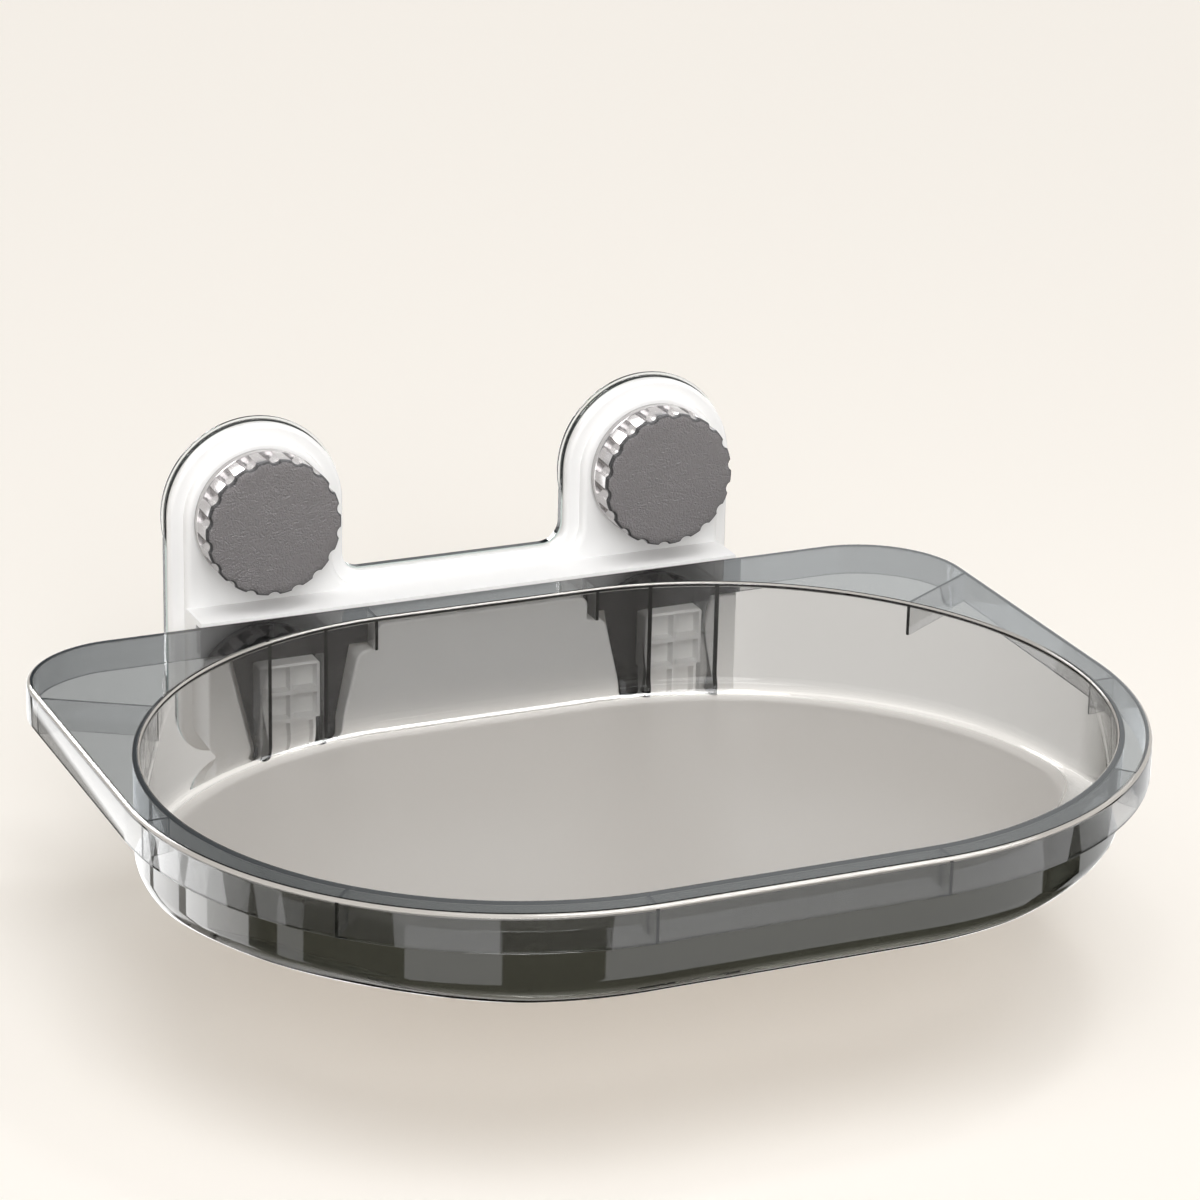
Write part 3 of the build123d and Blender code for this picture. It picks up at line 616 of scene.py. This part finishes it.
# Angles and radii of the rim at each depth. A scoop is a circle whose middle lies outside the rim, so inside
# it the radius is the near crossing of a ray from the axis with that circle; elsewhere it is the rim's own.
# The scoops' cut grows evenly from front to back.
def rimGrid(depths, turn):
    k = knobLook
    share = (k["front"] - depths) / (k["front"] - k["pocketEnd"])
    cuts = k["frontCut"] + (k["backCut"] - k["frontCut"]) * share
    centre = k["radius"] - cuts + k["scoop"]
    edge = np.arccos((k["radius"] ** 2 + centre ** 2 - k["scoop"] ** 2) / (2 * k["radius"] * centre))
    inside = np.sin(np.linspace(-math.pi / 2, math.pi / 2, k["scoopPoints"]))
    pitch = 2 * math.pi / k["count"]
    land = np.linspace(0, 1, k["landPoints"])[1:-1]
    angles, radii = [], []
    for place in range(k["count"]):
        middle = math.radians(turn) + pitch * (place + 0.5)
        local = edge[:, None] * inside
        ray = centre[:, None] * np.cos(local)
        reach = np.sqrt(np.maximum(k["scoop"] ** 2 - (centre[:, None] * np.sin(local)) ** 2, 0))
        angles.append(middle + local)
        radii.append(np.minimum(ray - reach, k["radius"]))
        angles.append(middle + edge[:, None] + (pitch - 2 * edge[:, None]) * land)
        radii.append(np.full((len(depths), len(land)), k["radius"]))
    return np.concatenate(angles, 1), np.concatenate(radii, 1)


# Points round a knob's axis: the radius times the cosine to the side, times the sine upwards, and the depth
def wheelPoints(angles, radii, depths, side):
    x = side * knobLook["centre"] + radii * np.cos(angles)
    z = radii * np.sin(angles)
    return np.stack([x, np.broadcast_to(-np.asarray(depths)[:, None], x.shape), z], -1)


# Plain rings at the first row's angles, one for each pair of a radius and a depth
def ringRows(angles, rows):
    depths = np.array([depth for _, depth in rows])
    radii = np.repeat(np.array([radius for radius, _ in rows])[:, None], angles.shape[1], 1)
    return np.repeat(angles[:1], len(rows), 0), radii, depths


# A closed piece round a knob's axis: its last ring is joined to its first, or both are filled
def closedWheel(name, parts, side, material, hollow=False):
    points = np.concatenate([wheelPoints(angles, radii, depths, side) for angles, radii, depths in parts])
    rows, columns = points.shape[:2]
    faces = gridFaces(rows, columns)
    last = (rows - 1) * columns
    if hollow:
        faces += [[last + i, last + (i + 1) % columns, (i + 1) % columns, i] for i in range(columns)]
    else:
        faces.append(list(range(columns)))
        faces.append([last + i for i in range(columns)])
    piece = newPiece(name, points.reshape(-1, 3), faces, material, knobLook["sharpAngle"])
    faceOutwards(piece.data)
    return piece


# A knob's body as rings round its axis: from its bore out over its back and flange, forward along the
# scooped rim, and back through its hollow to the bore
def makeKnobBody(sideName, side):
    k = knobLook
    depths = np.array([k["pocketEnd"], k["pocketEnd"] + k["soft"], *k["rimDepths"], k["capBack"] - k["soft"]])
    angles, radii = rimGrid(depths, k["turns"][sideName])
    back = ringRows(angles, [
        (k["bore"], k["nutBack"]), (k["bore"], k["washerFront"]), (k["washer"], k["washerFront"]),
        (k["washer"], k["back"]), (k["flange"] - k["edge"], k["back"]),
        (k["flange"] - k["edgeMiddle"], k["back"] + k["edgeMiddle"]), (k["flange"], k["back"] + k["edge"]),
        (k["flange"], k["flangeFront"] - k["step"]),
        (k["flange"] + k["edgeMiddle"], k["flangeFront"] - k["stepMiddle"]),
        (k["radius"] - k["stepMiddle"], k["flangeFront"] + k["edgeMiddle"]),
        (k["radius"], k["flangeFront"] + k["edge"]), (k["radius"], k["pocketEnd"] - k["soft"]),
        (k["radius"] - k["pocketLip"], k["pocketEnd"])])
    closing = (angles[-1:], radii[-1:] - k["soft"], np.array([k["capBack"]]))
    inside = ringRows(angles, [
        (k["inside"], k["capBack"]), (k["inside"], k["floorFront"]), (k["hub"], k["floorFront"]),
        (k["hub"], k["nutFront"]), (k["nut"], k["nutFront"]), (k["nut"], k["nutBack"])])
    body = closedWheel("knob_body_" + sideName, [back, (angles, radii, depths), closing, inside], side,
                       finishes["greyAbsFlake"], True)
    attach(body, "knob_" + sideName)
    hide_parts("knob_" + sideName)


# A knob's textured face: the scooped outline again, each ring drawn in by its inset for a rounded edge, then
# flat rings at shares of the last radius
def makeKnobFace(sideName, side):
    k = knobLook
    edge = np.array([(k["front"] - k["capBack"], k["capInset"]), *k["capEdge"]])
    depths = k["front"] - edge[:, 0]
    angles, radii = rimGrid(depths, k["turns"][sideName])
    radii = radii - edge[:, 1:]
    under = (angles[:1], radii[:1] * 0 + k["capUnder"], depths[:1])
    middle = [(angles[-1:], radii[-1:] * share, depths[-1:]) for share in k["capShares"]]
    face = closedWheel("knob_face_" + sideName, [under, (angles, radii, depths)] + middle, side,
                       finishes["greyAbsTextured"])
    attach(face, "knob_" + sideName)
    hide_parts("knob_cap_" + sideName)


for sideName, side in (("left", -1), ("right", 1)):
    makeKnobBody(sideName, side)
    makeKnobFace(sideName, side)
print("knobs made")


# Suction cups

cupLook = {
    "radius": 40.4 * mm, "lip": 33 * mm, "thick": 1.4 * mm, "disc": 16 * mm, "discBack": 4.5 * mm,
    "discFront": 6.0 * mm, "boss": 18.5 * mm, "bossFront": 7.4 * mm, "bore": 6.25 * mm, "skin": 1.0 * mm,
    "web": 1.8 * mm, "gap": 0.05 * mm, "bendStart": 1.4 * mm, "bendEnd": 3.7 * mm,
    "stations": 192, "domeRings": 14,
    # Broken edges: their width, how far their middle lies from the corner, and the ring left round the axis
    "edge": 0.35 * mm, "edgeMiddle": 0.1 * mm, "axisRing": 0.05 * mm,
}


# A cup drawn off the glass, as rings of a radius and a depth: a flat lip, a dome that rises to the boss by
# three times the square of the way in less twice its cube, and a pocket for the pull disc
def makeCup(sideName, side):
    c = cupLook
    t = np.linspace(0, 1, c["domeRings"])
    ease = t * t * (3 - 2 * t)
    underDisc = c["discBack"] - c["skin"]
    overDisc = underDisc + c["web"]
    inner = np.column_stack([c["lip"] + (c["disc"] - c["lip"]) * t, underDisc * ease])
    outer = np.column_stack([c["boss"] + (c["lip"] - c["boss"]) * t,
                             overDisc + (c["thick"] - overDisc) * ease])
    radius, thick, boss, front, edge, middle = (
        c[name] for name in ("radius", "thick", "boss", "bossFront", "edge", "edgeMiddle"))
    rows = [(c["axisRing"], underDisc)] + inner[::-1].tolist()
    rows += [(radius - edge, 0), (radius - middle, middle), (radius, edge), (radius, thick - edge),
             (radius - middle, thick - middle), (radius - edge, thick)]
    rows += outer[::-1].tolist()
    rows += [(boss, front - edge), (boss - middle, front - middle), (boss - edge, front), (c["bore"], front),
             (c["bore"], c["discFront"] + c["gap"]), (c["disc"] + c["gap"], c["discFront"] + c["gap"]),
             (c["disc"] + c["gap"], c["discBack"] - c["gap"]), (c["axisRing"], c["discBack"] - c["gap"])]
    angles = np.linspace(0, 2 * math.pi, c["stations"], endpoint=False)[None, :]
    cup = closedWheel("cup_" + sideName, [ringRows(angles, rows)], side, finishes["polyurethaneClear"])
    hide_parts("suction_cup_" + sideName)
    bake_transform(cup)


for sideName, side in (("left", -1), ("right", 1)):
    makeCup(sideName, side)
print("cups made")


# Floor, lamps, world and camera

floorShape = {"height": -158 * mm, "half": 30.0, "colour": "#F6F3EE", "glowColour": "#FFF2E6", "glow": 0.12}


# Background paper: matt and pale, with a faint warm glow that keeps the shadow light
def makeFloor():
    z, half = floorShape["height"], floorShape["half"]
    points = np.array([(-half, -half, z), (half, -half, z), (half, half, z), (-half, half, z)])
    material, tree = newMaterial("paperPale")
    paint = addNode(tree, "ShaderNodeBsdfDiffuse", sockets={"Color": linear(floorShape["colour"])})
    pale = addNode(tree, "ShaderNodeEmission", sockets={
        "Color": linear(floorShape["glowColour"]), "Strength": floorShape["glow"]})
    both = addNode(tree, "ShaderNodeAddShader", sockets={0: paint.outputs[0], 1: pale.outputs[0]})
    # Reflections look through the floor to the bright panels set round below it
    path = addNode(tree, "ShaderNodeLightPath")
    clear = addNode(tree, "ShaderNodeBsdfTransparent")
    seen = addNode(tree, "ShaderNodeMixShader", sockets={
        0: path.outputs["Is Glossy Ray"], 1: both.outputs[0], 2: clear.outputs[0]})
    addNode(tree, "ShaderNodeOutputMaterial", sockets={"Surface": seen.outputs[0]})
    newPiece("floor", points, [[0, 1, 2, 3]], material)


roomLook = {
    "sky": {"colour": "#FDF9F3", "strength": 1.0}, "fill": {"colour": "#FDF9F3", "strength": 0.4},
    "glossLow": {"colour": "#B9C8D6", "strength": 0.25},
    "glossHigh": {"colour": "#70757A", "strength": 0.5},
    "glossUnder": {"colour": "#3C3A33", "strength": 0.5},
    "glossHorizon": {"colour": "#FFFFFF", "strength": 1.2},
    "throughHigh": {"colour": "#4A4A40", "strength": 0.5},
}
# The heights between which each part of the room begins, as the sine of the angle above the horizon
roomEdges = {"high": (0.42, 0.65), "horizon": (0.24, 0.1), "under": (0.05, -0.05)}
# Bright panels that show only in reflections: where they stand, their half width in degrees, their light
glints = [
    {"way": (0.62, 0.73, 0.28), "reach": 24.0, "soft": 0.7, "colour": "#E4E8EA", "strength": 1.35},
    {"way": (0.39, -0.34, 0.855), "reach": 27.0, "soft": 0.9, "colour": "#FFFFFF", "strength": 17.0},
    {"way": (-0.25, 0.85, 0.46), "reach": 16.0, "soft": 0.9, "colour": "#FFFFFF", "strength": 14.0},
    {"way": (-0.9, -0.35, 0.1), "reach": 50.0, "soft": 0.8, "colour": "#FFFFFF", "strength": 1.8},
]
# Upright panels below eye height, by the angle from straight ahead at which each starts and ends
cardShape = {"low": -0.56, "high": -0.06, "heightSoft": 0.04, "turnSoft": 0.6}
cards = [
    {"from": -140.0, "to": -98.0, "colour": "#FFFFFF", "strength": 1.2},
    {"from": -76.0, "to": -8.0, "colour": "#F2F2F4", "strength": 1.7},
    {"from": 24.0, "to": 53.0, "colour": "#F2F2F4", "strength": 1.7},
    {"from": 87.0, "to": 96.0, "colour": "#FFFFFF", "strength": 1.4},
    {"from": 108.0, "to": 127.0, "colour": "#FFFFFF", "strength": 2.6},
    {"from": 127.0, "to": 138.0, "colour": "#FFFFFF", "strength": 4.4},
    {"from": 143.0, "to": 162.0, "colour": "#FFFFFF", "strength": 2.6},
    {"from": 166.0, "to": 190.0, "colour": "#FFFFFF", "strength": 2.2},
    {"from": -190.0, "to": -143.0, "colour": "#FFFFFF", "strength": 2.2},
]


# Diffuse rays meet a dim fill. Reflections meet a cool room with bright panels. What is seen directly is
# the pale background, and through clear plastic it is the same up to eye height, under a dark ceiling.
def makeWorld():
    world = bpy.data.worlds.new("studio")
    bpy.context.scene.world = world
    world.use_nodes = True
    tree = world.node_tree
    tree.nodes.clear()
    path = addNode(tree, "ShaderNodeLightPath")
    where = addNode(tree, "ShaderNodeTexCoord")
    way = addNode(tree, "ShaderNodeSeparateXYZ", sockets={"Vector": where.outputs["Generated"]})
    masks = {name: addNode(tree, "ShaderNodeMapRange", sockets={
        "Value": way.outputs["Z"], "From Min": start, "From Max": end}).outputs[0]
        for name, (start, end) in roomEdges.items()}
    # What a reflection meets, as lights laid one over another, each where its mask is 1
    layers = [(masks["high"], roomLook["glossHigh"]), (masks["horizon"], roomLook["glossHorizon"])]
    for glint in glints:
        turn = addNode(tree, "ShaderNodeVectorMath", {"operation": "DOT_PRODUCT"}, {
            0: where.outputs["Generated"], 1: Vector(glint["way"]).normalized()})
        lit = addNode(tree, "ShaderNodeMapRange", sockets={
            "Value": turn.outputs["Value"], "From Min": math.cos(math.radians(glint["reach"])),
            "From Max": math.cos(math.radians(glint["reach"] * glint["soft"]))})
        layers.append((lit.outputs[0], glint))
    layers.append((masks["under"], roomLook["glossUnder"]))
    # The bearing is the arc tangent of the way to the left over the way to the front
    left, ahead = (allOf(tree, way.outputs[axis], -1.0) for axis in "XY")
    bearing = addNode(tree, "ShaderNodeMath", {"operation": "ARCTAN2"}, {0: left, 1: ahead}).outputs[0]
    low = between(tree, way.outputs["Z"], cardShape["low"], cardShape["high"], cardShape["heightSoft"])
    for card in cards:
        lit = between(tree, bearing, math.radians(card["from"]), math.radians(card["to"]),
                      math.radians(cardShape["turnSoft"]))
        layers.append((allOf(tree, lit, low), card))
    room = {name: addNode(tree, "ShaderNodeBackground", sockets={
        "Color": linear(look["colour"]), "Strength": look["strength"]}).outputs[0]
        for name, look in roomLook.items()}
    gloss = room["glossLow"]
    for mask, look in layers:
        light = addNode(tree, "ShaderNodeBackground", sockets={
            "Color": linear(look["colour"]), "Strength": look["strength"]})
        gloss = addNode(tree, "ShaderNodeMixShader", sockets={
            0: mask, 1: gloss, 2: light.outputs[0]}).outputs[0]
    # Reflections and views through plastic count only before the first diffuse bounce
    first = addNode(tree, "ShaderNodeMath", {"operation": "LESS_THAN"}, {
        0: path.outputs["Diffuse Depth"], 1: 0.5})
    mirrored, through = (allOf(tree, path.outputs[ray], first.outputs[0])
                         for ray in ("Is Glossy Ray", "Is Transmission Ray"))
    clear = addNode(tree, "ShaderNodeMixShader", sockets={
        0: masks["high"], 1: room["sky"], 2: room["throughHigh"]})
    direct = path.outputs["Is Camera Ray"]
    seen = room["fill"]
    for mask, shader in ((mirrored, gloss), (through, clear.outputs[0]), (direct, room["sky"])):
        seen = addNode(tree, "ShaderNodeMixShader", sockets={0: mask, 1: seen, 2: shader}).outputs[0]
    addNode(tree, "ShaderNodeOutputWorld", sockets={"Surface": seen})


suns = {
    "overhead": {"strength": 1.02, "spread": 34.0, "from": (-0.1, -0.42, 1.0)},
    "front": {"strength": 1.14, "spread": 30.0, "from": (-0.3, -1.0, 0.5)},
}
softBoxes = {
    "key": {"power": 1.0, "size": (0.15, 0.15), "place": (0.35, -0.35, 1.1), "aim": (0, -0.2, -0.05)},
    "near": {"power": 0.6, "size": (0.3, 0.3), "place": (-0.1, -0.4, 0.42), "aim": (0, 0, 0)},
}


def hang(light, place, aim):
    holder = bpy.data.objects.new(light.name, light)
    holder.location = place
    holder.rotation_euler = (Vector(place) - Vector(aim)).to_track_quat("Z", "Y").to_euler()
    bpy.context.scene.collection.objects.link(holder)


def makeLamps():
    for name, look in suns.items():
        sun = bpy.data.lights.new(name, "SUN")
        sun.energy = look["strength"]
        sun.angle = math.radians(look["spread"])
        hang(sun, look["from"], (0, 0, 0))
    for name, look in softBoxes.items():
        box = bpy.data.lights.new(name, "AREA")
        box.shape = "RECTANGLE"
        box.size, box.size_y = look["size"]
        box.energy = look["power"]
        hang(box, look["place"], look["aim"])


# Place and lens in mm, turns in degrees, and how far it sees in metres
cameraView = {
    "place": (-664.7, -1650.5, 613.1), "azimuth": -24.08, "elevation": 20.54, "roll": 1.32, "lens": 130.07,
    "sensor": 36, "sight": 200,
}


# The camera looks along its azimuth and elevation, then rolls about that line
def makeCamera():
    az, el = math.radians(cameraView["azimuth"]), math.radians(cameraView["elevation"])
    forward = Vector((-math.sin(az) * math.cos(el), math.cos(az) * math.cos(el), -math.sin(el)))
    level = Vector((math.cos(az), math.sin(az), 0))
    upright = level.cross(forward)
    roll = math.radians(cameraView["roll"])
    right = level * math.cos(roll) + upright * math.sin(roll)
    up = right.cross(forward)
    data = bpy.data.cameras.new("camera")
    data.sensor_width = cameraView["sensor"]
    data.lens = cameraView["lens"]
    data.clip_end = cameraView["sight"]
    camera = bpy.data.objects.new("camera", data)
    turn = Matrix((right, up, -forward)).transposed().to_4x4()
    camera.matrix_world = Matrix.Translation(Vector(cameraView["place"]) * mm) @ turn
    bpy.context.scene.collection.objects.link(camera)
    bpy.context.scene.camera = camera


makeFloor()
makeWorld()
makeLamps()
makeCamera()
bpy.context.scene.view_settings.view_transform = "Standard"
print("stage set")
